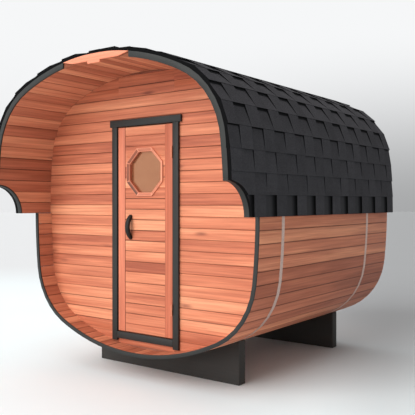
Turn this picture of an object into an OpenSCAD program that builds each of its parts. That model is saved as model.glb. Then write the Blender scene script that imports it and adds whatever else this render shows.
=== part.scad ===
// Barrel sauna with a rounded-square section: staves held by steel bands on two cradles,
// a hood of longer upper staves over the porch, a shingle roof, and a door in the recessed front wall.
// The ground is z = 0, the front faces -Y and the barrel's axis runs along Y.

/* [Shell] */
// Outer width across the lower staves
shell_w = 2400; // [2100:10:2700]
// Outer height across the lower staves and their section carried round above the seam
shell_h = 2334; // [2100:2:2600]
// Radius of the four rounded corners
corner_r = 595; // [480:5:680]
// How far a side stands out past its corner arcs
side_bulge = 23; // [12:1:40]
// How far the crown and the bottom stand out past their corner arcs
crown_bulge = 131; // [90:1:160]
// Thickness of a lower stave
stave_t = 30; // [28:1:42]
// Thickness of an upper stave
hood_stave_t = 43; // [40:1:50]
// How far the upper staves stand out past the lower ones
hood_lift = 30; // [12:1:34]
// Width of a stave on the outside
stave_w = 98.6; // [80:0.2:125]
// Chamfer along each edge of a stave
stave_chamfer = 4; // [2:0.5:7]
// Space from the ground to the lowest stave
ground_gap = 198; // [120:2:260]

/* [Length] */
// Distance from the middle to the front of the hood
hood_front = 1386; // [1340:2:1460]
// Distance from the middle to the front of the lower rim
rim_front = 977; // [930:1:1010]
// Distance from the middle to the outer face of the front wall
wall_front = 814; // [770:1:830]
// Distance from the middle to the rear end of the lower staves
lower_rear = 1386; // [1300:2:1386]
// Distance from the middle to the rear end of the upper staves and the roof
upper_rear = 1386; // [1386:2:1460]

/* [Hood] */
// Drop of the seam between upper and lower staves below the middle of the shell
seam_drop = 25; // [20:1:80]
// Radius of the cove cut into each lower front corner of the hood
cove_r = 240; // [180:5:270]
// Thickness of the painted edging on the stave ends
edging_t = 12; // [8:1:20]
// Half of the length of the bare crown board along its lower edge
crown_board_half = 350; // [280:1:420]
// Depth of the crown board under the top of the staves
crown_board_h = 54; // [52:1:80]
// Length of the deeper tongue in the middle of the crown board
crown_tongue_w = 130; // [80:1:180]
// Extra depth of that tongue
crown_tongue_h = 20; // [10:1:30]
// Offset of that tongue towards the left
crown_tongue_shift = 10; // [0:1:60]

/* [Roof] */
// Length of a shingle course that shows, along the curve
course_w = 150; // [120:2:165]
// Thickness of a course at its lower edge
course_butt_t = 30; // [24:1:34]
// Thickness of a course at its upper edge
course_top_t = 20; // [16:1:23]
// Width of the ridge course
ridge_w = 115; // [90:5:160]
// Thickness of the ridge course
ridge_t = 28; // [24:1:34]

/* [Bands] */
// Distance from the middle to the front band
front_band_y = 642; // [600:1:690]
// Distance from the middle to the rear band
rear_band_y = 893; // [700:1:980]
// Width of a steel band
band_w = 40; // [25:1:45]
// Thickness of a steel band
band_t = 1; // [0.8:0.1:1.5]

/* [Cradles] */
// Half length of the front cradle
front_cradle_half = 764; // [650:2:780]
// Half length of the rear cradle
rear_cradle_half = 770; // [600:2:780]
// Thickness of a cradle
cradle_t = 90; // [60:2:120]
// Height of the cradles at their ends
cradle_h = 350; // [280:1:352]
// Distance from the middle to the front face of the front cradle
front_cradle_y = 573; // [500:1:590]
// Distance from the middle to the rear face of the rear cradle
rear_cradle_y = 1160; // [1000:5:1290]

/* [Walls and floor] */
// Thickness of the front and rear walls
wall_t = 40; // [30:1:50]
// Inset of the rear wall from the ends of the lower staves
rear_inset = 70; // [40:2:120]
// Height of the floor deck's upper face above the ground
deck_z = 329; // [300:1:332]
// Thickness of the floor deck
deck_t = 28; // [20:1:40]

/* [Door] */
// Offset of the door's centre line to the right
door_x = 0; // [-20:1:40]
// Clear width between the jambs
door_w = 612; // [550:2:650]
// Height of the sill's upper face above the ground
sill_top = 347; // [322:1:340]
// Clear height from the sill to the head
door_h = 1728; // [1600:2:1740]
// Width of a casing board
casing_w = 57; // [45:1:65]
// Thickness of a casing board
casing_t = 22; // [16:1:30]
// Overhang of the head past each jamb
head_ear = 25; // [10:1:40]
// Length of the jambs below the sill's lower face
jamb_leg = 20; // [10:1:20]
// Gap between the leaf and the casing
leaf_gap = 8; // [7.5:0.5:10]
// Thickness of the leaf
leaf_t = 44; // [42:1:50]
// Set-back of the leaf's face behind the casing's face
leaf_setback = 10; // [6:1:14]
// Width of a leaf's stile
stile_w = 79; // [65:1:95]
// Set-back of the panel's face behind the stiles
panel_setback = 4; // [2:0.5:5]

/* [Window] */
// Distance from the top of the leaf down to the window's centre
window_drop = 378; // [330:1:400]
// Space between the octagonal frame and each stile
window_margin = 22; // [16:1:40]
// Face width of the frame, all of it bevelled towards the glass
window_frame_w = 28; // [22:1:34]
// How far the frame's outer edge stands out of the panel
window_frame_t = 13; // [9:1:18]
// Thickness of the frame's lining in the hole of the panel
window_lining_t = 12; // [8:1:14]
// Depth of the glass behind the panel's face
window_reveal = 27; // [18:1:28]
// Thickness of the glass
glass_t = 5; // [4:0.5:6]

/* [Hardware] */
// Distance of the handle from the left edge of the leaf
handle_inset = 142; // [115:1:190]
// Height of the handle's middle as a share of the leaf's height
handle_share = 0.513; // [0.46:0.005:0.53]
// Distance between the middles of the handle's feet
handle_l = 184; // [140:2:220]
// Stand-off of the bow from the leaf, at the middle of the bar
handle_out = 50; // [44:1:60]
// Thickness of the handle's bar
handle_t = 18; // [14:1:22]
// Width of the handle's bar
handle_w = 28; // [24:1:32]
// Height of a hinge
hinge_h = 90; // [70:2:120]
// Diameter of a hinge's knuckle
knuckle_d = 14; // [12:1:18]
// Diameter of a hinge's pin
hinge_pin_d = 6; // [5:0.5:7]
// Depth of a hinge's flap on the edge of the leaf
hinge_flap_w = 30; // [22:1:38]
// Thickness of a hinge's flap
hinge_flap_t = 2; // [1.5:0.25:2.25]
// Distance of each hinge from the end of the leaf
hinge_inset = 230; // [150:5:300]

/* [Hidden] */
$fn = 64;

// Clearance between pieces that lie on each other
fit_gap = 0.3;
// Width of the fine line between two staves
stave_gap = 0.4;
// Radial clearance of a hinge pin in its knuckle
pin_gap = 0.05;
// Length by which a cut runs past the piece it cuts
overrun = 20;

// Arcs of the shell's section, each tangent to the next
half_w = shell_w/2;
half_h = shell_h/2;
corner_x = half_w - side_bulge - corner_r;
corner_z = half_h - crown_bulge - corner_r;
side_r = (pow(half_w - corner_x, 2) + pow(corner_z, 2) - pow(corner_r, 2))/(2*side_bulge);
crown_r = (pow(half_h - corner_z, 2) + pow(corner_x, 2) - pow(corner_r, 2))/(2*crown_bulge);
side_angle = atan2(corner_z, corner_x - half_w + side_r);
crown_angle = atan2(corner_x, corner_z - half_h + crown_r);
corner_angle = 90 - side_angle - crown_angle;
side_len = side_r*side_angle*PI/180;
corner_len = corner_r*corner_angle*PI/180;
crown_len = crown_r*crown_angle*PI/180;
quarter_len = side_len + corner_len + crown_len;
shell_z = ground_gap + half_h;

// Numbers of staves above and below the seam, and their widths along the curve
upper_len = 2*quarter_len + 2*seam_drop;
lower_len = 2*quarter_len - 2*seam_drop;
upper_count = round(upper_len/stave_w);
lower_count = round(lower_len/stave_w);
upper_pitch = upper_len/upper_count;
lower_pitch = lower_len/lower_count;
eave_count = ceil((cove_r + edging_t + overrun)/upper_pitch);
crown_count = 9;
crown_first = floor((upper_count - crown_count)/2);
floor_first = floor((lower_count - crown_count)/2);

// Courses of the roof on one side of the ridge
roof_lift = hood_lift + fit_gap;
side_roof_len = (upper_len - ridge_w)/2;
course_count = round(side_roof_len/course_w);
course_pitch = side_roof_len/course_count;
cove_courses = ceil((cove_r + overrun)/course_pitch);

// Front and rear planes
stave_front_y = edging_t + fit_gap - hood_front;
lower_front_y = edging_t + fit_gap - rim_front;
wall_rear_y = wall_t - wall_front;
rear_wall_y = lower_rear - rear_inset;
casing_y = -wall_front - fit_gap - casing_t;
leaf_y = casing_y + leaf_setback;
panel_y = leaf_y + panel_setback;
panel_t = leaf_t - panel_setback;
glass_y = panel_y + window_reveal + fit_gap;

// Door outline
leaf_w = door_w - 2*leaf_gap;
leaf_h = door_h - 2*leaf_gap;
leaf_z = sill_top + leaf_gap;
head_z = sill_top + door_h;
jamb_z = sill_top - casing_w - jamb_leg;
panel_w = leaf_w - 2*stile_w - 2*fit_gap;
hinge_x = door_x + (door_w - leaf_gap)/2;
hinge_y = casing_y - fit_gap - knuckle_d/2;
casing_flap_x = hinge_x + leaf_gap/2 - fit_gap - hinge_flap_t;
leaf_flap_x = hinge_x - leaf_gap/2 + fit_gap;
hinge_zs = [leaf_z + hinge_inset, leaf_z + leaf_h - hinge_inset];
handle_x = door_x - leaf_w/2 + handle_inset;
handle_z = leaf_z + handle_share*leaf_h;

// Octagon of the window: flats face up, down and sideways
octagon_sides = 8;
flat_to_corner = 1/cos(180/octagon_sides);
window_w = panel_w - 2*window_margin;
window_z = leaf_z + leaf_h - window_drop;
sight_w = window_w - 2*window_frame_w;
hole_w = sight_w + 2*window_lining_t;

cedar = "sandybrown";
painted = "dimgray";
roofing = "#3a3a3c";
blackened = "#2a2826";

// Direction of the outward normal after a length s of curve, from the right side over the crown
function quarter_angle(s) =
    s < side_len ? s/side_r*180/PI
    : s < side_len + corner_len ? side_angle + (s - side_len)/corner_r*180/PI
    : 90 - (quarter_len - s)/crown_r*180/PI;

function shell_angle(s) =
    let (quarter = floor(s/quarter_len), part = s - quarter*quarter_len)
    quarter % 2 == 0 ? quarter*90 + quarter_angle(part)
    : (quarter + 1)*90 - quarter_angle(quarter_len - part);

// Point of the first quarter whose normal has this angle, lifted off the outer face
function quarter_point(angle, lift) =
    let (ray = [cos(angle), sin(angle)])
    angle < side_angle ? [half_w - side_r, 0] + (side_r + lift)*ray
    : angle <= 90 - crown_angle ? [corner_x, corner_z] + (corner_r + lift)*ray
    : [0, half_h - crown_r] + (crown_r + lift)*ray;

function shell_point(s, lift) =
    let (angle = shell_angle(s), point = quarter_point(atan2(abs(sin(angle)), abs(cos(angle))), lift))
    [sign(cos(angle))*point.x, sign(sin(angle))*point.y];

function unit(v) = v/norm(v);

// Lengths of curve at the joints between staves, above and below the seam
upper_joints = [for (i = [0:upper_count]) i*upper_pitch - seam_drop];
lower_joints = [for (i = [0:lower_count]) -i*lower_pitch - seam_drop];
loop_joints = concat(upper_joints, [for (i = [lower_count - 1:-1:1]) lower_joints[i]]);

// Closed outline through the joints of all staves, lifted off their outer faces
function loop_outline(lift) = [for (s = loop_joints) shell_point(s, lift)];

// Outline of the strip that covers the ends of some staves
function end_strip(joints, lift, t) = concat(
    [for (s = joints) shell_point(s, lift)],
    [for (i = [len(joints) - 1:-1:0]) shell_point(joints[i], lift - t)]
);

// Section of one stave: tapered sides on the curve's normals, chamfered edges
function stave_outline(from, to, lift, t) =
    let (
        a = shell_point(from, lift),
        b = shell_point(to, lift),
        c = shell_point(to, lift - t),
        d = shell_point(from, lift - t),
        along = unit(b - a),
        side = along*stave_gap/2,
        back = along*(stave_gap/2 + stave_chamfer),
        in_a = unit(d - a)*stave_chamfer,
        in_b = unit(c - b)*stave_chamfer
    )
    [
        a + back, b - back, b - side + in_b, c - side - in_b,
        c - back, d + back, d + side - in_a, a + side + in_a
    ];

// Section of one shingle course: a flat wedge on the curve, thick at its lower edge
function course_outline(from, to, from_t, to_t) =
    let (
        middle = shell_point((from + to)/2, roof_lift),
        out = [cos(shell_angle((from + to)/2)), sin(shell_angle((from + to)/2))],
        a = shell_point(from, 0),
        b = shell_point(to, 0),
        ray_a = [cos(shell_angle(from)), sin(shell_angle(from))],
        ray_b = [cos(shell_angle(to)), sin(shell_angle(to))],
        inner_a = a + ray_a*((middle - a)*out)/(ray_a*out),
        inner_b = b + ray_b*((middle - b)*out)/(ray_b*out),
        side = unit(inner_b - inner_a)*fit_gap/2
    )
    [inner_a + side, inner_b - side, inner_b - side + ray_b*to_t, inner_a + side + ray_a*from_t];

// Extrudes a section drawn from the shell's axis along the barrel
module along_barrel(front, rear) {
    translate([0, rear, shell_z])
        rotate([90, 0, 0])
            linear_extrude(rear - front)
                children();
}

module staves(joints, first, last, lift, t, front, rear) {
    for (i = [first:last])
        along_barrel(front, rear)
            polygon(stave_outline(min(joints[i], joints[i + 1]), max(joints[i], joints[i + 1]), lift, t));
}

// The half of a section that lies above the seam
module above_seam() {
    translate([-shell_w, fit_gap - seam_drop])
        square([2*shell_w, shell_h]);
}

// Cylinder across the hood that cuts both coves
module cove_cut(r) {
    reach = half_w + hood_lift + course_butt_t + overrun;
    translate([-reach, -hood_front, shell_z - seam_drop])
        rotate([0, 90, 0])
            cylinder(r = r, h = 2*reach);
}

// Cradles
module cradle(half, front, rear) {
    color(blackened)
        along_barrel(front, rear)
            difference() {
                translate([-half, -shell_z])
                    square([2*half, cradle_h]);
                polygon(loop_outline(fit_gap));
            }
}

module front_cradle() {
    cradle(front_cradle_half, -front_cradle_y, cradle_t - front_cradle_y);
}

module rear_cradle() {
    cradle(rear_cradle_half, rear_cradle_y - cradle_t, rear_cradle_y);
}

// Staves below the seam
module lower_staves(first, last) {
    color(cedar) staves(lower_joints, first, last, 0, stave_t, lower_front_y, lower_rear);
}

module right_lower_staves() {
    lower_staves(0, floor_first - 1);
}

module floor_staves() {
    lower_staves(floor_first, floor_first + crown_count - 1);
}

module left_lower_staves() {
    lower_staves(floor_first + crown_count, lower_count - 1);
}

// Staves above the seam, which run forward as the hood
module upper_staves(first, last) {
    color(cedar) staves(upper_joints, first, last, hood_lift, hood_stave_t, stave_front_y, upper_rear);
}

module eave_staves(first, last) {
    color(cedar)
        difference() {
            staves(upper_joints, first, last, hood_lift, hood_stave_t, stave_front_y, upper_rear);
            cove_cut(cove_r + edging_t + fit_gap);
        }
}

module right_eave_staves() {
    eave_staves(0, eave_count - 1);
}

module left_eave_staves() {
    eave_staves(upper_count - eave_count, upper_count - 1);
}

module right_upper_staves() {
    upper_staves(eave_count, crown_first - 1);
}

module crown_staves() {
    upper_staves(crown_first, crown_first + crown_count - 1);
}

module left_upper_staves() {
    upper_staves(crown_first + crown_count, upper_count - eave_count - 1);
}

// Steel bands under the lower staves, from seam to seam
module band(middle) {
    color("silver")
        along_barrel(middle - band_w/2, middle + band_w/2)
            difference() {
                polygon(loop_outline(fit_gap + band_t));
                polygon(loop_outline(fit_gap));
                above_seam();
            }
}

module front_band() {
    band(-front_band_y);
}

module rear_band() {
    band(rear_band_y);
}

// Shingle roof over the upper staves
module course(index) {
    from = index*course_pitch - seam_drop;
    along_barrel(-hood_front, upper_rear)
        polygon(course_outline(from, from + course_pitch, course_butt_t, course_top_t));
}

module side_courses() {
    color(roofing) {
        difference() {
            for (i = [0:cove_courses - 1])
                course(i);
            cove_cut(cove_r);
        }
        for (i = [cove_courses:course_count - 1])
            course(i);
    }
}

module right_roof_courses() {
    side_courses();
}

module left_roof_courses() {
    mirror([1, 0, 0]) side_courses();
}

module ridge_course() {
    color(roofing)
        along_barrel(-hood_front, upper_rear)
            polygon(course_outline(quarter_len - ridge_w/2, quarter_len + ridge_w/2, ridge_t, ridge_t));
}

// Painted edging on the ends of the staves
module hood_edging() {
    foot_z = cove_r + edging_t + fit_gap - seam_drop;
    color(painted)
        along_barrel(-hood_front, edging_t - hood_front)
            difference() {
                polygon(end_strip([for (s = upper_joints) if (s <= quarter_len) s], hood_lift, hood_stave_t));
                translate([0, foot_z - shell_h])
                    square([shell_w, shell_h]);
                translate([-shell_w, 0])
                    square([shell_w + crown_board_half + fit_gap, shell_h]);
            }
}

module right_hood_edging() {
    hood_edging();
}

module left_hood_edging() {
    mirror([1, 0, 0]) hood_edging();
}

module cove_edging() {
    color(painted)
        difference() {
            intersection() {
                cove_cut(cove_r + edging_t);
                along_barrel(-hood_front, upper_rear)
                    polygon(end_strip([for (i = [0:eave_count]) upper_joints[i]], hood_lift, hood_stave_t));
            }
            cove_cut(cove_r);
        }
}

module right_cove_edging() {
    cove_edging();
}

module left_cove_edging() {
    mirror([1, 0, 0]) cove_edging();
}

module rim_edging() {
    color(painted)
        along_barrel(-rim_front, edging_t - rim_front)
            polygon(end_strip(lower_joints, 0, stave_t));
}

// Bare board that closes the crown of the hood between the two edgings
module crown_board() {
    foot_z = half_h + hood_lift - crown_board_h;
    tongue_x = -crown_tongue_shift - crown_tongue_w/2;
    color(cedar)
        along_barrel(-hood_front, edging_t - hood_front)
            intersection() {
                polygon(loop_outline(hood_lift));
                union() {
                    translate([-crown_board_half, foot_z])
                        square([2*crown_board_half, crown_board_h]);
                    translate([tongue_x, foot_z - crown_tongue_h])
                        square([crown_tongue_w, crown_board_h]);
                }
            }
}

// Walls and floor, cut to the inner faces of the staves
module across_shell(front, rear, low, size) {
    along_barrel(front, rear)
        intersection() {
            union() {
                polygon(loop_outline(-stave_t - fit_gap));
                intersection() {
                    polygon(loop_outline(hood_lift - hood_stave_t - fit_gap));
                    above_seam();
                }
            }
            translate([low.x, low.y - shell_z])
                square(size);
        }
}

module front_wall_left() {
    color(cedar)
        across_shell(-wall_front, wall_rear_y, [-half_w, 0], [half_w + door_x - door_w/2, 2*shell_z]);
}

module front_wall_right() {
    color(cedar)
        across_shell(-wall_front, wall_rear_y, [door_x + door_w/2, 0], [half_w, 2*shell_z]);
}

module doorway_wall(low, high) {
    color(cedar)
        across_shell(
            -wall_front, wall_rear_y, [door_x - door_w/2 + fit_gap, low], [door_w - 2*fit_gap, high - low]
        );
}

module front_wall_over_door() {
    doorway_wall(head_z, 2*shell_z);
}

module front_wall_under_door() {
    doorway_wall(0, sill_top);
}

module rear_wall() {
    color(cedar) across_shell(rear_wall_y - wall_t, rear_wall_y, [-half_w, 0], [shell_w, 2*shell_z]);
}

module floor_deck() {
    color(cedar)
        across_shell(
            wall_rear_y + fit_gap, rear_wall_y - wall_t - fit_gap,
            [-half_w, deck_z - deck_t], [shell_w, deck_t]
        );
}

// Door casing on the face of the front wall
module casing_board(x, z, w, h) {
    color(painted) translate([x, casing_y, z]) cube([w, casing_t, h]);
}

module left_jamb() {
    casing_board(door_x - door_w/2 - casing_w, jamb_z, casing_w, head_z - jamb_z - fit_gap);
}

module right_jamb() {
    casing_board(door_x + door_w/2, jamb_z, casing_w, head_z - jamb_z - fit_gap);
}

module door_head() {
    head_w = door_w + 2*casing_w + 2*head_ear;
    casing_board(door_x - head_w/2, head_z, head_w, casing_w);
}

module door_sill() {
    casing_board(door_x - door_w/2 + fit_gap, sill_top - casing_w, door_w - 2*fit_gap, casing_w);
}

// Door leaf
module stile(x) {
    color(cedar) translate([x, leaf_y, leaf_z]) cube([stile_w, leaf_t, leaf_h]);
}

module door_left_stile() {
    stile(door_x - leaf_w/2);
}

module door_right_stile() {
    stile(door_x + leaf_w/2 - stile_w);
}

// Octagonal prism across its flats w, from one depth into the leaf to another
module octagon(w, front, rear) {
    translate([door_x, rear, window_z])
        rotate([90, 180/octagon_sides, 0])
            cylinder(d = w*flat_to_corner, h = rear - front, $fn = octagon_sides);
}

module door_panel() {
    color(cedar)
        difference() {
            translate([door_x - panel_w/2, panel_y, leaf_z])
                cube([panel_w, panel_t, leaf_h]);
            octagon(hole_w, panel_y - overrun, panel_y + panel_t + overrun);
        }
}

// Octagonal moulding: a bevel that sinks from its outer edge to the sight edge, and a lining in the hole
module moulding(depth) {
    rotate([90, 180/octagon_sides, 0])
        rotate_extrude($fn = octagon_sides)
            polygon([
                [sight_w/2*flat_to_corner, -depth],
                [(hole_w/2 - fit_gap)*flat_to_corner, -depth],
                [(hole_w/2 - fit_gap)*flat_to_corner, 0],
                [window_w/2*flat_to_corner, 0],
                [window_w/2*flat_to_corner, window_frame_t],
                [sight_w/2*flat_to_corner, 0]
            ]);
}

module window_frame() {
    color(cedar)
        translate([door_x, panel_y - fit_gap, window_z])
            moulding(window_reveal + fit_gap);
}

module window_inner_frame() {
    color(cedar)
        translate([door_x, panel_y + panel_t + fit_gap, window_z])
            rotate([0, 0, 180])
                moulding(panel_t - window_reveal - glass_t - fit_gap);
}

module window_glass() {
    color("peru", 0.6) octagon(hole_w - 2*fit_gap, glass_y, glass_y + glass_t);
}

// Bow handle: an arc of flat-oval bar that meets the panel at both feet
module door_handle() {
    bow_r = (pow(handle_l/2, 2) + pow(handle_out, 2))/(2*handle_out);
    flat_w = handle_w - handle_t;
    color(blackened)
        intersection() {
            translate([handle_x, panel_y - handle_out + bow_r, handle_z])
                rotate([0, 90, 0])
                    rotate_extrude()
                        translate([bow_r, 0])
                            union() {
                                square([handle_t, flat_w], center = true);
                                translate([0, flat_w/2]) circle(d = handle_t);
                                translate([0, -flat_w/2]) circle(d = handle_t);
                            }
            translate([handle_x - handle_w, panel_y - fit_gap - handle_out - handle_t, handle_z - handle_l])
                cube([2*handle_w, handle_out + handle_t, 2*handle_l]);
        }
}

// Hinges: the knuckles stand before the casing, and the two flaps lie in the gap beside the leaf
module knuckle(low_share, high_share) {
    translate([hinge_x, hinge_y, low_share*hinge_h])
        cylinder(d = knuckle_d, h = (high_share - low_share)*hinge_h);
}

module hinge_plates() {
    lower_share = 0.3;
    upper_share = 0.7;
    plate_l = casing_y + casing_t - hinge_y - fit_gap;
    color(blackened)
        for (z = hinge_zs)
            translate([0, 0, z - hinge_h/2]) {
                knuckle(0, lower_share);
                knuckle(upper_share, 1);
                translate([hinge_x, hinge_y, 0])
                    cylinder(d = hinge_pin_d, h = hinge_h);
                for (share = [0, upper_share])
                    translate([casing_flap_x, hinge_y, share*hinge_h])
                        cube([hinge_flap_t, knuckle_d, lower_share*hinge_h]);
                translate([casing_flap_x, hinge_y + knuckle_d/2 + pin_gap, 0])
                    cube([hinge_flap_t, plate_l - knuckle_d/2 - pin_gap, hinge_h]);
            }
}

module hinge_flaps() {
    lower_share = 0.31;
    upper_share = 0.69;
    low = lower_share*hinge_h;
    tall = (upper_share - lower_share)*hinge_h;
    flap_l = leaf_y + hinge_flap_w - hinge_y;
    color(blackened)
        for (z = hinge_zs)
            translate([0, 0, z - hinge_h/2])
                difference() {
                    union() {
                        knuckle(lower_share, upper_share);
                        translate([leaf_flap_x, hinge_y, low])
                            cube([hinge_flap_t, flap_l, tall]);
                    }
                    translate([hinge_x, hinge_y, low - overrun])
                        cylinder(d = hinge_pin_d + 2*pin_gap, h = tall + 2*overrun);
                }
}

front_cradle();
rear_cradle();
floor_staves();
right_lower_staves();
left_lower_staves();
right_eave_staves();
left_eave_staves();
right_upper_staves();
left_upper_staves();
crown_staves();
front_band();
rear_band();
right_roof_courses();
left_roof_courses();
ridge_course();
right_hood_edging();
left_hood_edging();
right_cove_edging();
left_cove_edging();
rim_edging();
crown_board();
front_wall_left();
front_wall_right();
front_wall_over_door();
front_wall_under_door();
rear_wall();
floor_deck();
left_jamb();
right_jamb();
door_head();
door_sill();
door_left_stile();
door_right_stile();
door_panel();
window_frame();
window_inner_frame();
window_glass();
door_handle();
hinge_plates();
hinge_flaps();
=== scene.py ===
import math
import random

import bmesh
import bpy
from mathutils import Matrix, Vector


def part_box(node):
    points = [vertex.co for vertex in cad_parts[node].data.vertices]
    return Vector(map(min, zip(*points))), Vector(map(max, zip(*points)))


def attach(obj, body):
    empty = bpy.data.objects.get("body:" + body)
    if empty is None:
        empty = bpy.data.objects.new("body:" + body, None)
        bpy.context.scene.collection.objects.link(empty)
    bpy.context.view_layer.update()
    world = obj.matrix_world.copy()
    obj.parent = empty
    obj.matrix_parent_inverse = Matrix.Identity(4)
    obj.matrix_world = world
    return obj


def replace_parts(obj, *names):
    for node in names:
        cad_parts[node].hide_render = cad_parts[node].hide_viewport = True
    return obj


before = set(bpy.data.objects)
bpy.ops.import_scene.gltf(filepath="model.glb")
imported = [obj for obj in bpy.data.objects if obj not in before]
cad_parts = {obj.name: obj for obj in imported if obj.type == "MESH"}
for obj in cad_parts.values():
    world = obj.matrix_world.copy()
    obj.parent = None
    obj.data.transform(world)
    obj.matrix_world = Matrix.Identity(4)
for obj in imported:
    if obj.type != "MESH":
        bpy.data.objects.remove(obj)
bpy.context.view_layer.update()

# Camera: stands to the right of the porch at eye height and looks slightly down, where the photo
# was taken from.
eye, lens_mm, sensor_mm = (3.604, -4.806, 1.4476), 56.476, 36.0
look_down, look_left = 0.543, 36.641
camera = bpy.data.objects.new("camera", bpy.data.cameras.new("camera"))
camera.data.sensor_width = sensor_mm
camera.data.lens = lens_mm
camera.location = eye
camera.rotation_euler = (math.radians(90 - look_down), 0, math.radians(look_left))
bpy.context.scene.collection.objects.link(camera)
bpy.context.scene.camera = camera


# Cradles: two stout timbers on edge, sawn hollow on top so that the barrel lies in them.
# Softwood with a black stain that leaves the sawn grain showing, and eased arrises.
class Wire:
    """A socket of a finish. Sums and products add Math nodes, and node() adds any other node."""

    def __init__(self, socket):
        self.socket = socket

    def node(self, kind, settings, inputs, out=0):
        """Adds a node and gives a wire of one of its outputs. Stops are those of a colour ramp."""
        tree = self.socket.id_data
        made = tree.nodes.new(kind)
        for name, value in settings.items():
            if name == "stops":
                ramp = made.color_ramp.elements
                ramp[0].position, ramp[0].color = value[0]
                ramp[-1].position, ramp[-1].color = value[-1]
                for stop, colour in value[1:-1]:
                    ramp.new(stop).color = colour
            else:
                setattr(made, name, value)
        for name, value in inputs.items():
            if isinstance(value, Wire):
                tree.links.new(value.socket, made.inputs[name])
            else:
                made.inputs[name].default_value = value
        return Wire(made.outputs[out])

    def math(self, operation, first, second):
        return self.node("ShaderNodeMath", {"operation": operation}, {0: first, 1: second})

    def __add__(self, other):
        return self.math("ADD", self, other)

    def __sub__(self, other):
        return self.math("SUBTRACT", self, other)

    def __rsub__(self, other):
        return self.math("SUBTRACT", other, self)

    def __mul__(self, other):
        return self.math("MULTIPLY", self, other)

    def __pow__(self, other):
        return self.math("POWER", self, other)

    __radd__, __rmul__ = __add__, __mul__


def tint(red, green, blue):
    """Linear colour for one given in sRGB from 0 to 255."""
    return tuple(((c / 255 + 0.055) / 1.055) ** 2.4 for c in (red, green, blue)) + (1.0,)


def finish(name, sockets):
    """A new material, its shader with constants set, and a wire of the place on the piece."""
    material = bpy.data.materials.new(name)
    material.use_nodes = True
    shader = material.node_tree.nodes["Principled BSDF"]
    for socket, value in sockets.items():
        shader.inputs[socket].default_value = value
    place = Wire(material.node_tree.nodes.new("ShaderNodeTexCoord").outputs["Object"])
    return material, shader, place


def feed(shader, wires):
    """Leads each wire into the shader's socket of that name."""
    for socket, wire in wires.items():
        shader.id_data.links.new(wire.socket, shader.inputs[socket])


def noise(place, stretch, detail=3, roughness=0.6):
    """Noise whose features shrink by the stretch along each axis."""
    spread = place.node("ShaderNodeVectorMath", {"operation": "MULTIPLY"}, {0: place, 1: stretch})
    return place.node("ShaderNodeTexNoise", {}, {
        "Vector": spread, "Scale": 1.0, "Detail": detail, "Roughness": roughness,
    })


def blend(mask, low, high):
    """The low colour where the mask is 0, the high one where it is 1."""
    return mask.node("ShaderNodeMix", {"data_type": "RGBA"}, {0: mask, 6: low, 7: high}, 2)


def relief(height, depth):
    """Fine relief of the surface, with its depth in metres."""
    return height.node("ShaderNodeBump", {}, {"Height": height, "Distance": depth, "Strength": 1.0})


def solid(node):
    """The node's CAD solid as one closed mesh of flat faces, ready to be cut and eased."""
    weld, flat = 1e-5, math.radians(0.5)
    shape = bmesh.new()
    shape.from_mesh(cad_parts[node].data)
    bmesh.ops.remove_doubles(shape, verts=shape.verts, dist=weld)
    bmesh.ops.dissolve_limit(shape, angle_limit=flat, verts=shape.verts, edges=shape.edges)
    return shape


def ease(shape, width, segments=2, turn=20):
    """Rounds every arris that turns by more than an angle."""
    limit = math.radians(turn)
    arrises = [e for e in shape.edges if e.is_manifold and e.calc_face_angle(0) > limit]
    bmesh.ops.bevel(
        shape, geom=arrises, offset=width, segments=segments, profile=0.5, affect="EDGES",
        clamp_overlap=True
    )


def piece(name, shape, material, turn=30):
    """Makes the shape an object, smooth except where it turns by more than an angle."""
    mesh = bpy.data.meshes.new(name)
    bmesh.ops.recalc_face_normals(shape, faces=shape.faces)
    shape.to_mesh(mesh)
    shape.free()
    mesh.shade_smooth()
    mesh.set_sharp_from_angle(angle=math.radians(turn))
    mesh.materials.append(material)
    made = bpy.data.objects.new(name, mesh)
    bpy.context.scene.collection.objects.link(made)
    return made


cradle_arris = 0.004
black_stain, shader, place = finish("black_stain", {"Specular IOR Level": 0.3})
sawn = noise(place, (1.6, 70, 70), 4)
patches = noise(place, (3, 3, 3), 2)
feed(shader, {
    "Base Color": blend(sawn * 0.75 + patches * 0.35 - 0.1, tint(42, 40, 38), tint(68, 65, 62)),
    "Roughness": 0.55 + sawn * 0.3,
    "Normal": relief(sawn, 0.0012),
})
for node in ("front_cradle", "rear_cradle"):
    shape = solid(node)
    ease(shape, cradle_arris)
    cradle = piece(node + "_timber", shape, black_stain)
    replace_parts(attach(cradle, "barrel"), node)

# Lower staves: planed cedar planks along the barrel, one beside the other round the section, with
# tapered and chamfered edges that close on each other. Their sawn ends show end grain.
to_right, to_rear, upright = Vector((1, 0, 0)), Vector((0, 1, 0)), Vector((0, 0, 1))


def step(wire, low, high):
    """Smooth step from 0 at low to 1 at high."""
    return wire.node("ShaderNodeMapRange", {"interpolation_type": "SMOOTHSTEP"}, {
        "Value": wire, "From Min": low, "From Max": high,
    })


def shade(colour, factor):
    """The colour made darker or lighter by a factor that varies."""
    return factor.node("ShaderNodeVectorMath", {"operation": "SCALE"}, {0: colour, "Scale": factor})


def islands(shape):
    """Groups of vertices that edges join, in a fixed order."""
    shape.verts.ensure_lookup_table()
    seen = set()
    for start in shape.verts:
        if start in seen:
            continue
        seen.add(start)
        group, queue = [], [start]
        while queue:
            vert = queue.pop()
            group.append(vert)
            for edge in vert.link_edges:
                other = edge.other_vert(vert)
                if other not in seen:
                    seen.add(other)
                    queue.append(other)
        yield group


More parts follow.
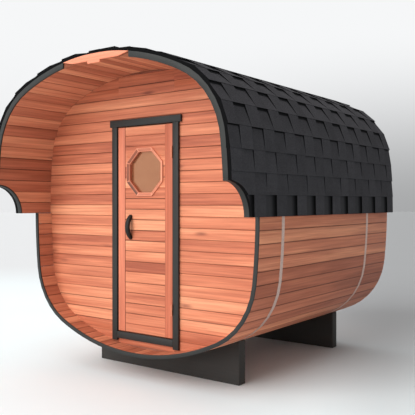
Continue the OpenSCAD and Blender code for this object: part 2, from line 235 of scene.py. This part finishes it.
def mark_grain(shape, along, seed, row=None):
    """Gives each plank its own run of grain, a tone, and its place across the width from -1 to 1.
    Planks that the row function puts in one row share them."""
    log_l, log_w, most_rows = 30, 9, 100
    chance = random.Random(seed)
    grain = shape.verts.layers.float_vector.new("grain")
    plank = shape.verts.layers.float.new("plank")
    span = shape.verts.layers.float.new("span")
    first, second = [axis for axis in (to_right, to_rear, upright) if abs(axis.dot(along)) < 0.5]
    for group in islands(shape):
        middle = sum((v.co for v in group), Vector()) / len(group)
        offsets = [((v.co - middle).dot(first), (v.co - middle).dot(second)) for v in group]
        skew, stretch = sum(a * b for a, b in offsets), sum(a * a - b * b for a, b in offsets)
        turn = math.atan2(2 * skew, stretch) / 2
        across = first * math.cos(turn) + second * math.sin(turn)
        through = first * math.sin(turn) - second * math.cos(turn)
        half = max(abs((v.co - middle).dot(across)) for v in group)
        if row:
            chance = random.Random(seed * most_rows + row(middle))
        start = Vector([chance.uniform(0, size) for size in (log_l, log_w, log_w)])
        tone = chance.random()
        for v in group:
            place = v.co - middle
            v[grain] = Vector((v.co.dot(along), place.dot(across), place.dot(through))) + start
            v[plank] = tone
            v[span] = place.dot(across) / half


def marked(place, name):
    """The value that mark_grain left on the piece under a name."""
    out = "Vector" if name == "grain" else "Fac"
    return place.node("ShaderNodeAttribute", {"attribute_name": name}, {}, out)


def cedar(name, tones, knotless=0.9):
    """Planed bare cedar: tones from plank to plank, streaks, growth lines, joints darkened by dust
    and by painted shade, and knots in all cells of the grain but the knotless share."""
    knot_rate, knot_tone, ring_rate, ring_wander = (1.6, 6.5, 0.4), tint(112, 52, 38), 55, 9
    material, shader, place = finish(name, {"Specular IOR Level": 0.35})
    grain, plank, span = (marked(place, mark) for mark in ("grain", "plank", "span"))
    across = grain.node("ShaderNodeSeparateXYZ", {}, {0: grain}, 1)
    broad = noise(grain, (0.8, 13, 13), 2, 0.5)
    streak = noise(grain, (1.5, 60, 60))
    fibre = noise(grain, (14, 900, 900), 2)
    growth = across * ring_rate + broad * ring_wander
    rings = growth.math("PINGPONG", growth, 1.0) ** 3
    cells = grain.node("ShaderNodeVectorMath", {"operation": "MULTIPLY"}, {0: grain, 1: knot_rate})
    cell = grain.node("ShaderNodeTexVoronoi", {}, {"Vector": cells, "Scale": 1.0})
    chance = cell.node("ShaderNodeSeparateColor", {}, {0: Wire(cell.socket.node.outputs["Color"])})
    knot = (1 - step(cell + streak * 0.08, 0.05, 0.2)) * step(chance, knotless, knotless + 0.02)
    edge = span * span
    # Joints: darker near both edges of each plank, partly dust and partly painted shade.
    joint_dust_and_shade = step(edge, 0.80, 0.90) * 0.42 + step(edge, 0.35, 0.9) * 0.07
    mixed = plank * 0.8 + broad * 1.2 + streak * 0.7 - 0.85
    tone = plank.node("ShaderNodeValToRGB", {"stops": tones}, {0: mixed})
    light = 1.0 + (streak - 0.5) * 0.45 + (fibre - 0.5) * 0.12 - rings * 0.08 - joint_dust_and_shade
    feed(shader, {
        "Base Color": blend(knot * 0.7, shade(tone, light), knot_tone),
        "Roughness": 0.46 + streak * 0.16 + rings * 0.06,
        "Normal": relief(fibre * 0.4 + streak * 0.6 - rings * 0.25, 0.0007),
    })
    return material


stave_cedar = cedar("stave_cedar", [
    (0.0, tint(160, 88, 62)), (0.35, tint(184, 107, 78)),
    (0.7, tint(199, 121, 89)), (1.0, tint(218, 143, 106)),
])
end_grain, shader, place = finish("end_grain", {"Specular IOR Level": 0.2})
pores = noise(place, (320, 320, 320))
years = noise(place, (60, 60, 240))
feed(shader, {
    "Base Color": blend(years * 0.7 + pores * 0.4 - 0.05, tint(112, 62, 42), tint(158, 92, 66)),
    "Roughness": 0.7 + pores * 0.2,
    "Normal": relief(pores + years * 0.5, 0.0006),
})


def planed_staves(node, seed):
    """The node's staves as planed planks, with end grain on the faces that look along them."""
    stave_arris, end_facing = 0.001, 0.9
    shape = solid(node)
    ease(shape, stave_arris)
    mark_grain(shape, to_rear, seed)
    shape.normal_update()
    for face in shape.faces:
        face.material_index = 1 if abs(face.normal.y) > end_facing else 0
    staves = piece(node + "_planed", shape, stave_cedar)
    staves.data.materials.append(end_grain)
    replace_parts(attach(staves, "barrel"), node)


for seed, node in enumerate(("floor_staves", "right_lower_staves", "left_lower_staves"), 11):
    planed_staves(node, seed)


# Bands: two strips of thin galvanised steel, drawn tight under the lower staves from seam to seam.
# The zinc has a faint spangle and dull streaks along the strip, and its grey is warmed towards the
# cedar as a painted reflection of the walls.
def speckle(place, scale):
    """A random tone for each cell of a fine net."""
    net = place.node("ShaderNodeTexVoronoi", {}, {"Vector": place, "Scale": scale}, 1)
    return net.node("ShaderNodeSeparateColor", {}, {0: net})


zinc_painted_reflection, shader, place = finish("zinc_painted_reflection", {"Metallic": 0.85})
flake = speckle(place, 130)
dull = noise(place, (7, 90, 7))
feed(shader, {
    # Painted reflection: the zinc's grey is warmed towards the cedar around it.
    "Base Color": blend(flake * 0.5 + dull * 0.5, tint(183, 159, 149), tint(231, 201, 189)),
    "Roughness": 0.30 + flake * 0.12 + dull * 0.18,
    "Normal": relief(flake * 0.3 + dull, 0.0003),
})
for node in ("front_band", "rear_band"):
    band = piece(node + "_strip", solid(node), zinc_painted_reflection)
    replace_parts(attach(band, "barrel"), node)

# Front and rear walls and the floor deck: planed cedar boards with a V-joint on both faces, cut to
# the inside of the staves. The walls' boards lie level, and the deck's run from front to rear.
wall_start, wall_pitch, wall_count, v_joint = 0.1573, 0.09003, 27, 0.004
deck_start, deck_pitch, deck_count, deck_joint = -0.76, 0.095, 16, 0.003
front_seed, rear_seed, deck_seed = 2031, 2032, 37
board_cedar = cedar("board_cedar", [
    (0.0, tint(166, 86, 60)), (0.3, tint(198, 113, 81)),
    (0.65, tint(217, 132, 96)), (1.0, tint(237, 159, 119)),
], knotless=0.55)


def saw_off(shape, spot, way):
    """Saws through a spot, takes off what lies beyond it in a direction, and closes the cut."""
    everything = shape.verts[:] + shape.edges[:] + shape.faces[:]
    bmesh.ops.bisect_plane(
        shape, geom=everything, dist=1e-6, plane_co=spot, plane_no=way, clear_outer=True
    )
    bmesh.ops.holes_fill(shape, edges=[e for e in shape.edges if e.is_boundary], sides=0)


def join(whole, shape):
    """Moves a shape into a whole."""
    moved = bpy.data.meshes.new("moved")
    shape.to_mesh(moved)
    shape.free()
    whole.from_mesh(moved)
    bpy.data.meshes.remove(moved)


def boards(node, across, start, pitch, count, chamfer):
    """Saws the node's slab into boards of one pitch, and chamfers both faces at each joint."""
    half_gap, shortest_joint, square, touching = 0.0003, 0.06, 1.0, 1e-5
    whole = bmesh.new()
    for low in (start + pitch * i for i in range(count)):
        board = solid(node)
        cuts = (low + half_gap, low + pitch - half_gap)
        for cut, side in zip(cuts, (-1, 1)):
            saw_off(board, across * cut, across * side)
        joints = [
            e for e in board.edges
            if e.calc_length() > shortest_joint and e.calc_face_angle(0) > square
            and any(all(abs(v.co.dot(across) - cut) < touching for v in e.verts) for cut in cuts)
        ]
        bmesh.ops.bevel(
            board, geom=joints, offset=chamfer, segments=1, affect="EDGES", clamp_overlap=True
        )
        join(whole, board)
    return whole


for node, seed in (
    ("front_wall_left", front_seed), ("front_wall_right", front_seed),
    ("front_wall_over_door", front_seed), ("front_wall_under_door", front_seed),
    ("rear_wall", rear_seed),
):
    shape = boards(node, upright, wall_start, wall_pitch, wall_count, v_joint)
    mark_grain(shape, to_right, seed, lambda spot: int((spot.z - wall_start) / wall_pitch))
    wall = piece(node + "_boards", shape, board_cedar)
    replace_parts(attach(wall, "barrel"), node)
shape = boards("floor_deck", to_right, deck_start, deck_pitch, deck_count, deck_joint)
mark_grain(shape, to_rear, deck_seed)
deck = piece("floor_deck_boards", shape, board_cedar)
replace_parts(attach(deck, "barrel"), "floor_deck")

# Upper staves: longer planks of the same cedar that close the barrel above the seam and run
# forward as the hood. The lowest ones are cut to the round cove.
for seed, node in enumerate((
    "right_eave_staves", "left_eave_staves", "right_upper_staves", "left_upper_staves",
    "crown_staves",
), 21):
    planed_staves(node, seed)

# Edging: thin painted boards nailed over the ends of the staves, round the hood, the two coves and
# the lower rim. Dark grey satin paint with brush marks along the boards.
trim_arris, trim_turn = 0.0015, 40
grey_paint, shader, place = finish("grey_paint", {"Specular IOR Level": 0.25})
brush = noise(marked(place, "grain"), (3, 140, 140))
cloud = noise(place, (5, 5, 5), 2)
feed(shader, {
    "Base Color": blend(brush * 0.6 + cloud * 0.5 - 0.05, tint(38, 39, 38), tint(53, 53, 51)),
    "Roughness": 0.45 + brush * 0.2,
    "Normal": relief(brush, 0.0006),
})
for seed, node in enumerate((
    "right_hood_edging", "left_hood_edging", "right_cove_edging", "left_cove_edging", "rim_edging",
), 41):
    shape = solid(node)
    ease(shape, trim_arris, turn=trim_turn)
    mark_grain(shape, upright, seed)
    edging = piece(node + "_painted", shape, grey_paint)
    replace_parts(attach(edging, "barrel"), node)

# Crown board: a bare piece of pale cedar let in between the two hood edgings, with its ends
# undercut and a short tongue below its middle.
undercut_l, undercut_h, crown_seed = 0.065, 0.014, 51
shape = solid("crown_board")
for side in (-1, 1):
    spots = [v.co for v in shape.verts]
    tip = max(spots, key=lambda spot: (round(spot.x * side, 4), spot.z)).copy()
    saw_off(shape, tip, (undercut_h * side, 0, -undercut_l))
ease(shape, trim_arris, turn=trim_turn)
mark_grain(shape, to_right, crown_seed)
crown = piece("crown_board_planed", shape, cedar("pale_cedar", [
    (0.0, tint(232, 136, 104)), (1.0, tint(246, 152, 118)),
]))
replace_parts(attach(crown, "barrel"), "crown_board")

# Roof: bitumen shingles in courses that overlap, cut into tabs with slots as wide as the tabs, over
# a starter strip at the eave. Dark mineral granules on top, black bitumen at the cut edges. Each
# course is staggered by half a pitch against the next, and the left side against the right. From
# the fourth course up, a black strip at each slot's head is painted shade under the next course's
# butt, and the starter strip in the eave slots turns from grey to black as painted shade.
roof_front, roof_rear = -1.386, 1.386
seam_z, cove_r, axis_z, cove_steps = 1.34, 0.24, 1.365, 8
tab_pitch, first_slot, eave_shift = 0.2951, -1.108, -0.018
slot_w, slot_range = tab_pitch / 2, range(-2, 10)
front_clear = (0.03, 0.20, 0.09)  # uncut run before the first slot: eave, next course, the others
narrowest_tab, sliver, tab_arris, tab_turn = 0.01, 0.002, 0.0012, 40
bed, eave_depth = 0.0004, (0.010, 0.012)  # depth of a slot at its butt and its head
first_depth, depth_gain, most_depth = 0.004, 0.002, 0.013
butt_slack, sink_slack, tab_head, head_rise = 0.012, 0.0012, 0.998, 0.0085
# Painted shade: from the fourth course up, a black strip at each slot's head stands in for the
# shade under the next course's butt.
first_shade_strip_row, first_shade_strip_share, shade_strip_share, shade_strip_t = 3, 0.95, 0.89, 0.003  # black strip at a slot's head
in_granules, in_bitumen, in_starter = 0, 1, 2
black_low, black_high, grit_scale = tint(7, 7, 8), tint(18, 18, 19), 420

granules, shader, place = finish("granules", {"Specular IOR Level": 0.1})
grit = blend(speckle(place, grit_scale), tint(48, 47, 50), tint(74, 72, 75))
bump = place.node("ShaderNodeTexVoronoi", {}, {"Vector": place, "Scale": grit_scale})
mottle = noise(place, (9, 9, 9), 4)
feed(shader, {
    "Base Color": shade(grit, 0.75 + marked(place, "plank") * 0.22 + (mottle - 0.5) * 0.5),
    "Roughness": 0.82 + mottle * 0.15,
    "Normal": relief(bump * -0.6 + mottle * 0.4, 0.0012),
})
bitumen, shader, place = finish("bitumen", {"Specular IOR Level": 0.05})
felt = noise(place, (150, 150, 150))
feed(shader, {
    "Base Color": blend(felt, black_low, black_high),
    "Roughness": 0.7 + felt * 0.2,
    "Normal": relief(felt, 0.0008),
})
starter, shader, place = finish("starter_strip", {"Specular IOR Level": 0.05})
felt = noise(place, (150, 150, 150))
along = place.node("ShaderNodeSeparateXYZ", {}, {0: place}, 1)
# Painted shade: the starter felt is grey at the front of each eave slot and turns black towards its
# rear edge.
turn = (along - first_slot - eave_shift) * (1 / slot_w)
painted_slot_shade = step(turn.math("FRACT", turn, 0), 0.44, 0.94)
bare = blend(felt, tint(46, 45, 47), tint(62, 61, 63))
feed(shader, {
    "Base Color": blend(painted_slot_shade, bare, blend(felt, black_low, black_high)),
    "Roughness": 0.75 + felt * 0.2,
    "Normal": relief(felt, 0.0008),
})


def course_corners(node):
    """Butt and head of each course of the node as inner and outer points, and how far the staves
    fall away under them, from the eave to the ridge."""
    shape = solid(node)
    axis, slack = upright * axis_z, 1e-4
    courses = []
    for group in islands(shape):
        rear = max(v.co.y for v in group)
        ends = [Vector((v.co.x, 0, v.co.z)) for v in group if v.co.y > rear - slack]
        pairs = [(a, b) for i, a in enumerate(ends) for b in ends[i + 1:]]
        head = min(pairs, key=lambda pair: (pair[0] - pair[1]).length)
        butt = [p for p in ends if p not in head]
        courses.append([sorted(pair, key=lambda p: (p - axis).length) for pair in (butt, head)])
    shape.free()
    courses.sort(key=lambda course: course[0][0].z)
    for butt, head in courses[:-1]:
        head[1] = head[1] + (head[1] - head[0]).normalized() * head_rise
    runs = [head[0] - butt[0] for butt, head in courses]
    turns = [a.angle(b) for a, b in zip(runs, runs[1:])]
    falls = [run.length * turn / 8 for run, turn in zip(runs, turns + turns[-1:])]
    return [(butt, head, fall) for (butt, head), fall in zip(courses, falls)]


def lay(shape, course, outline, low, high):
    """Adds a piece to a course and gives back its top face. The outline's points are places along
    the barrel and shares of the way to the head. Low and high are depths below the course's face at
    its butt and head, and None stands for the staves. Butts are granuled and cut sides black."""
    (butt_in, butt_out), (head_in, head_out), fall = course
    rings = []
    for depths in (low, high):
        ring = []
        for y, share in outline:
            inner, outer = butt_in.lerp(head_in, share), butt_out.lerp(head_out, share)
            thick = (outer - inner).length
            if depths:
                depth = depths[0] + (depths[1] - depths[0]) * share
            else:
                depth = thick + fall * (2 * share - 1) ** 2
            point = outer + (inner - outer) / thick * depth
            ring.append(shape.verts.new((point.x, y, point.z)))
        rings.append(ring)
    shape.faces.new(rings[0]).material_index = in_bitumen
    top = shape.faces.new(rings[1])
    for i, (_, share) in enumerate(outline):
        j = (i + 1) % len(outline)
        side = shape.faces.new((rings[0][i], rings[0][j], rings[1][j], rings[1][i]))
        side.material_index = in_granules if low and share == outline[j][1] else in_bitumen
    return top


def front_edge(course, share):
    """Where the roof starts at this share of the course: at the hood's front or on the cove."""
    rise = max(0, course[0][1].lerp(course[1][1], share).z - seam_z)
    return roof_front + (math.sqrt(cove_r ** 2 - rise ** 2) if rise < cove_r else 0)


def outline_of(course, front, rear, butt, head):
    """Outline of a tab between two places along the barrel, cut by the cove where it reaches it."""
    shares = [butt + (head - butt) * i / cove_steps for i in range(cove_steps + 1)]
    edge = [(max(front, front_edge(course, s)), s) for s in shares]
    edge = [(y, s) for y, s in edge if y < rear - sliver]
    return edge + [(rear, edge[-1][1]), (rear, edge[0][1])] if len(edge) > 1 else None


for side, seed, stagger in (("right", 61, 0), ("left", 62, 1)):
    chance = random.Random(seed)
    tops, bases = bmesh.new(), bmesh.new()
    for row, course in enumerate(course_corners(side + "_roof_courses")):
        depth = (bed, min(first_depth + depth_gain * row, most_depth)) if row else eave_depth
        base = lay(bases, course, outline_of(course, roof_front, roof_rear, 0, 1), None, depth)
        base.material_index = in_granules if row else in_starter
        shift = first_slot + (row + stagger) % 2 * slot_w + (0 if row else eave_shift)
        clear = front_edge(course, 0.5) + front_clear[min(row, 2)]
        slots = [s for s in (shift + tab_pitch * i for i in slot_range) if s > clear]
        edges = [roof_front] + [y for s in slots for y in (s - slot_w, s)] + [roof_rear]
        for front, rear in zip(edges[::2], edges[1::2]):
            front, rear = max(front, roof_front), min(rear, roof_rear)
            if rear - front > narrowest_tab:
                butt, sink = chance.uniform(0, butt_slack), chance.uniform(0, sink_slack)
                outline = outline_of(course, front, rear, butt, tab_head)
                if outline:
                    lay(tops, course, outline, [d + bed for d in depth], (sink, sink))
        # Painted shade under the next course's butt, laid as a black strip at the slot's head.
        for slot in slots if row >= first_shade_strip_row else []:
            start = shade_strip_share if row > first_shade_strip_row else first_shade_strip_share
            outline = outline_of(course, slot - slot_w, min(slot, roof_rear), start, 1)
            if outline:
                strip = lay(bases, course, outline, depth, (0, depth[1] - shade_strip_t))
                strip.material_index = in_bitumen
    bmesh.ops.recalc_face_normals(tops, faces=tops.faces)
    ease(tops, tab_arris, segments=1, turn=tab_turn)
    join(bases, tops)
    mark_grain(bases, to_rear, seed)
    roof = piece(side + "_roof_shingles", bases, granules)
    roof.data.materials.append(bitumen)
    roof.data.materials.append(starter)
    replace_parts(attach(roof, "barrel"), side + "_roof_courses")

# Ridge: cap shingles folded over the crown and nailed down, each lapped over the next along the
# barrel. The same granules on top, and black bitumen at the cut edges.
cap_count, cap_seed, foot_rise, cap_rise = 10, 63, 0.012, 0.022
cap_gap, cap_in, cap_slack, cap_fall = 0.0005, 0.001, 0.001, 0.008
low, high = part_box("ridge_course")
cap_foot, cap_top = low.z + foot_rise, low.z + cap_rise
cap_pitch = (high.y - low.y) / cap_count
sides = ((0, 3, 2, 1), (0, 1, 5, 4), (1, 2, 6, 5), (2, 3, 7, 6), (3, 0, 4, 7))
chance = random.Random(cap_seed)
shape = bmesh.new()
for i in range(cap_count):
    y0, y1 = low.y + cap_pitch * i, low.y + cap_pitch * (i + 1) - cap_gap
    drop = chance.uniform(0, cap_slack)
    for inset, bottoms, tops in (
        (0, (low.z, low.z), (cap_foot, cap_foot)),
        (cap_in, (cap_foot - cap_in, cap_foot - cap_in), (cap_top - drop, cap_top - cap_fall)),
    ):
        x0, x1 = low.x + inset, high.x - inset
        corners = [
            shape.verts.new((x, y, z[k]))
            for z in (bottoms, tops)
            for x, y, k in ((x0, y0, 0), (x1, y0, 0), (x1, y1, 1), (x0, y1, 1))
        ]
        for side in sides:
            shape.faces.new([corners[k] for k in side]).material_index = in_bitumen
        shape.faces.new(corners[4:])
ease(shape, tab_arris, segments=1, turn=tab_turn)
mark_grain(shape, to_rear, cap_seed)
ridge = piece("ridge_shingles", shape, granules)
ridge.data.materials.append(bitumen)
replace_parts(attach(ridge, "barrel"), "ridge_course")

# Door casing: four grey painted boards screwed to the face of the front wall round the doorway.
# The head runs past the jambs at both ends.
casing_arris = 0.0025
for seed, (node, along) in enumerate((
    ("left_jamb", upright), ("right_jamb", upright),
    ("door_head", to_right), ("door_sill", to_right),
), 71):
    shape = solid(node)
    ease(shape, casing_arris)
    mark_grain(shape, along, seed)
    casing = piece(node + "_painted", shape, grey_paint)
    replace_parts(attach(casing, "barrel"), node)

# Door leaf: two upright cedar stiles, and a panel of level V-jointed boards set a little behind
# them, with an octagonal hole for the window.
stile_arris = 0.003
panel_start, panel_pitch, panel_count, panel_seed = 0.3351, 0.08724, 21, 226
door_cedar = cedar("door_cedar", [
    (0.0, tint(186, 98, 68)), (1.0, tint(224, 132, 101)),
], knotless=0.97)
for seed, node in enumerate(("door_left_stile", "door_right_stile"), 97):
    shape = solid(node)
    ease(shape, stile_arris, segments=3)
    mark_grain(shape, upright, seed)
    stile = piece(node + "_planed", shape, door_cedar)
    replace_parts(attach(stile, "door"), node)
shape = boards("door_panel", upright, panel_start, panel_pitch, panel_count, v_joint)
mark_grain(shape, to_right, panel_seed)
panel = piece("door_panel_boards", shape, board_cedar)
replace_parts(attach(panel, "door"), "door_panel")

# Window: mitred octagonal frames of cedar on both faces of the leaf, bevelled towards the pane, and
# bronze reflective glass clamped between their linings. The frames carry painted light: darker
# faces on their left, lighter faces on their right, painted highlights on the narrow arrises and
# painted light on the linings.
frame_arris, arris_area, pane_arris, mitre = 0.004, 5e-4, 0.0005, math.pi / 4
middle_tone, painted_side_light_swing, painted_arris_highlight, painted_lining_light, lining_facing = 0.62, 0.62, 0.8, 0.3, 0.6
run_step = 3.1
# The frame's ramp runs from painted shade on the frames' left to painted light on their right.
frame_cedar_painted_light = cedar("frame_cedar_painted_light", [
    (0.0, tint(108, 66, 47)), (0.5, tint(188, 106, 80)), (1.0, tint(240, 158, 126)),
], knotless=0.97)
octagon = [Vector((math.cos(k * mitre), 0, math.sin(k * mitre))) for k in range(8)]
low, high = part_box("window_frame")
pane_middle = (low + high) / 2
for node in ("window_frame", "window_inner_frame"):
    shape = solid(node)
    ease(shape, frame_arris, turn=12)
    shape.normal_update()
    grain = shape.loops.layers.float_vector.new("grain")
    plank = shape.loops.layers.float.new("plank")
    span = shape.loops.layers.float.new("span")
    for face in shape.faces:
        spot = face.calc_center_median() - pane_middle
        sector = round(math.atan2(spot.z, spot.x) / mitre)
        out = octagon[sector % 8]
        along = Vector((-out.z, 0, out.x))
        # Painted light: the frame is darker on its left side and lighter on its right, narrow
        # arrises get a painted highlight, and linings get painted light.
        tone = middle_tone + painted_side_light_swing * out.x
        if face.calc_area() < arris_area:
            tone += painted_arris_highlight
        elif abs(face.normal.dot(out)) > lining_facing:
            tone += painted_lining_light
        for loop in face.loops:
            place = loop.vert.co - pane_middle
            run = place.dot(along) + sector * run_step
            loop[grain] = Vector((run, place.dot(out), place.y + sector))
            loop[plank] = tone
            loop[span] = 0
    moulding = piece(node + "_mitred", shape, frame_cedar_painted_light, turn=20)
    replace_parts(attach(moulding, "door"), node)
bronze, shader, place = finish("bronze_reflective", {
    "Metallic": 0.55, "Specular IOR Level": 0.6, "Coat Weight": 0.3, "Coat Roughness": 0.03,
})
smear = noise(place, (6, 6, 11))
feed(shader, {
    "Base Color": blend(smear, tint(171, 113, 80), tint(184, 128, 92)),
    "Roughness": 0.10 + smear * 0.10,
})
shape = solid("window_glass")
ease(shape, pane_arris, segments=1)
glass = piece("window_pane", shape, bronze)
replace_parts(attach(glass, "door"), "window_glass")

# Handle: a bow of flat-oval bar that thins towards its two feet on the panel. Cast metal with a
# satin black coat that shines a little where hands rub it.
bar_t, bar_swell, foot_in, taper, taper_curve = 0.032, 0.007, 0.010, 0.2, 2.2
wide_curve, deep_curve, deep_share, half_rings, ring_sides = 0.7, 0.8, 0.4, 16, 24
black_coat, shader, place = finish("black_coat", {"Specular IOR Level": 0.3})
cast = noise(place, (220, 220, 220))
rub = noise(place, (30, 30, 12), 2)
feed(shader, {
    "Base Color": blend(rub, tint(13, 12, 10), tint(30, 27, 23)),
    "Roughness": 0.48 + cast * 0.2 - rub * 0.06,
    "Normal": relief(cast, 0.0005),
})
low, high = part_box("door_handle")
half_w = (high.x - low.x) / 2 + bar_swell
foot = Vector(((low.x + high.x) / 2, high.y, (low.z + high.z) / 2))
stand_off, foot_half = high.y - low.y - bar_t / 2, (high.z - low.z) / 2 - foot_in
bow_r = (foot_half ** 2 + stand_off ** 2) / (2 * stand_off)
reach = math.acos((bow_r - stand_off) / bow_r)


def oval(value, curve):
    """A sine or cosine pressed out towards the corners of a flat oval."""
    return math.copysign(abs(value) ** curve, value)


shape = bmesh.new()
rings = []
for i in range(2 * half_rings + 1):
    share = i / half_rings - 1
    angle, slim = reach * share, 1 - taper * abs(share) ** taper_curve
    out = Vector((0, -math.cos(angle), math.sin(angle)))
    middle = foot + Vector((0, bow_r - stand_off, 0)) + out * bow_r
    ring = []
    for k in range(ring_sides):
        turn = 2 * math.pi * k / ring_sides
        wide = oval(math.cos(turn), wide_curve) * half_w * slim
        thick = bar_t / 2 * (1 - deep_share + deep_share * slim)
        point = middle + to_right * wide + out * oval(math.sin(turn), deep_curve) * thick
        point.y = min(point.y, foot.y)
        ring.append(shape.verts.new(point))
    rings.append(ring)
for a, b in zip(rings, rings[1:]):
    for k in range(ring_sides):
        shape.faces.new((a[k], a[k - 1], b[k - 1], b[k]))
shape.faces.new(rings[0])
shape.faces.new(rings[-1][::-1])
handle = piece("door_handle_bow", shape, black_coat, turn=50)
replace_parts(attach(handle, "door"), "door_handle")

# Hinges: two butt hinges with flaps in the gap beside the leaf and a knuckle in front of the
# casing. Steel with a bronze coat; the fixed flap and pin belong to the casing, the other flap to
# the leaf.
hinge_arris, hinge_turn = 0.0003, 40
bronze_coat, shader, place = finish("bronze_coat", {"Metallic": 0.2, "Specular IOR Level": 0.4})
worn = noise(place, (90, 90, 40))
feed(shader, {
    "Base Color": blend(worn, tint(200, 122, 92), tint(226, 146, 112)),
    "Roughness": 0.40 + worn * 0.2,
})
for node, body in (("hinge_plates", "barrel"), ("hinge_flaps", "door")):
    shape = solid(node)
    ease(shape, hinge_arris, segments=1, turn=hinge_turn)
    hinge = piece(node + "_coated", shape, bronze_coat)
    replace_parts(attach(hinge, body), node)

# Studio: a wide pale floor that keeps the cast shadow and greys towards the far right with painted
# shade, a broad soft light from the front left and one from above, and an even surround, nearly
# white high up and greyer low on the right with painted shade.
photo_right, photo_away, eye_back = (0.8024, 0.5968, 0), (-0.5968, 0.8024, 0), 6.0
floor_r, floor_sides, floor_drop = 90, 96, 0.0005
far_start, far_end, painted_shade_pull, fill, fill_lean = 9, 15, 6.5, 0.38, 0.15


def reach_along(place, way):
    """How far a place lies in a direction."""
    return place.node("ShaderNodeVectorMath", {"operation": "DOT_PRODUCT"}, {0: place, 1: way}, 1)


pale, shader, place = finish("pale_floor", {"Specular IOR Level": 0.1})
scuff = noise(place, (0.8, 0.8, 0.8))
right, away = reach_along(place, photo_right), reach_along(place, photo_away) + eye_back
# Painted shade: the far floor turns grey towards the right.
far_right_painted_shade = step(right.math("DIVIDE", right, away), -0.1, 0.3)
far = step(away + far_right_painted_shade * painted_shade_pull, far_start, far_end)
near_tone = blend(scuff, tint(238, 247, 249), tint(242, 250, 251))
far_tone = blend(far_right_painted_shade, tint(222, 223, 224), tint(160, 161, 162))
feed(shader, {
    "Base Color": blend(far, near_tone, far_tone),
    "Roughness": 0.75 + scuff * 0.15,
})
shape = bmesh.new()
bmesh.ops.create_circle(shape, cap_ends=True, segments=floor_sides, radius=floor_r)
bmesh.ops.translate(shape, verts=shape.verts, vec=(0, 0, -floor_drop))
ground = piece("studio_floor", shape, pale)
for name, strength, spread, way in (
    ("front_light", 2.25, 50, (0.22, 0.86, -0.42)), ("top_light", 1.45, 80, (0.15, 0.1, -1)),
):
    lamp = bpy.data.objects.new(name, bpy.data.lights.new(name, "SUN"))
    lamp.data.energy, lamp.data.angle = strength, math.radians(spread)
    lamp.rotation_euler = Vector(way).to_track_quat("-Z", "Y").to_euler()
    bpy.context.scene.collection.objects.link(lamp)
world = bpy.data.worlds.new("surround")
world.use_nodes = True
sky = world.node_tree.nodes["Background"]
rays = world.node_tree.nodes.new("ShaderNodeLightPath").outputs
seen = Wire(rays["Is Camera Ray"])
for kind in ("Is Glossy Ray", "Is Transmission Ray"):
    seen = seen.math("MAXIMUM", seen, Wire(rays[kind]))
view = Wire(world.node_tree.nodes.new("ShaderNodeTexCoord").outputs["Generated"])
height = view.node("ShaderNodeSeparateXYZ", {}, {0: view}, 2)
right = reach_along(view, photo_right)
# Painted shade: the surround seen low on the right is grey.
low_tone_painted_shade = blend(step(right, -0.2, 0.3), tint(234, 235, 236), tint(168, 169, 170))
seen_tone = blend(step(height, -0.02, 0.25), low_tone_painted_shade, tint(246, 247, 248))
feed(sky, {
    "Color": blend(seen, tint(255, 255, 255), seen_tone),
    "Strength": (fill - right * fill_lean) * (1 - seen) + seen,
})
bpy.context.scene.world = world
bpy.context.scene.view_settings.view_transform = "Standard"
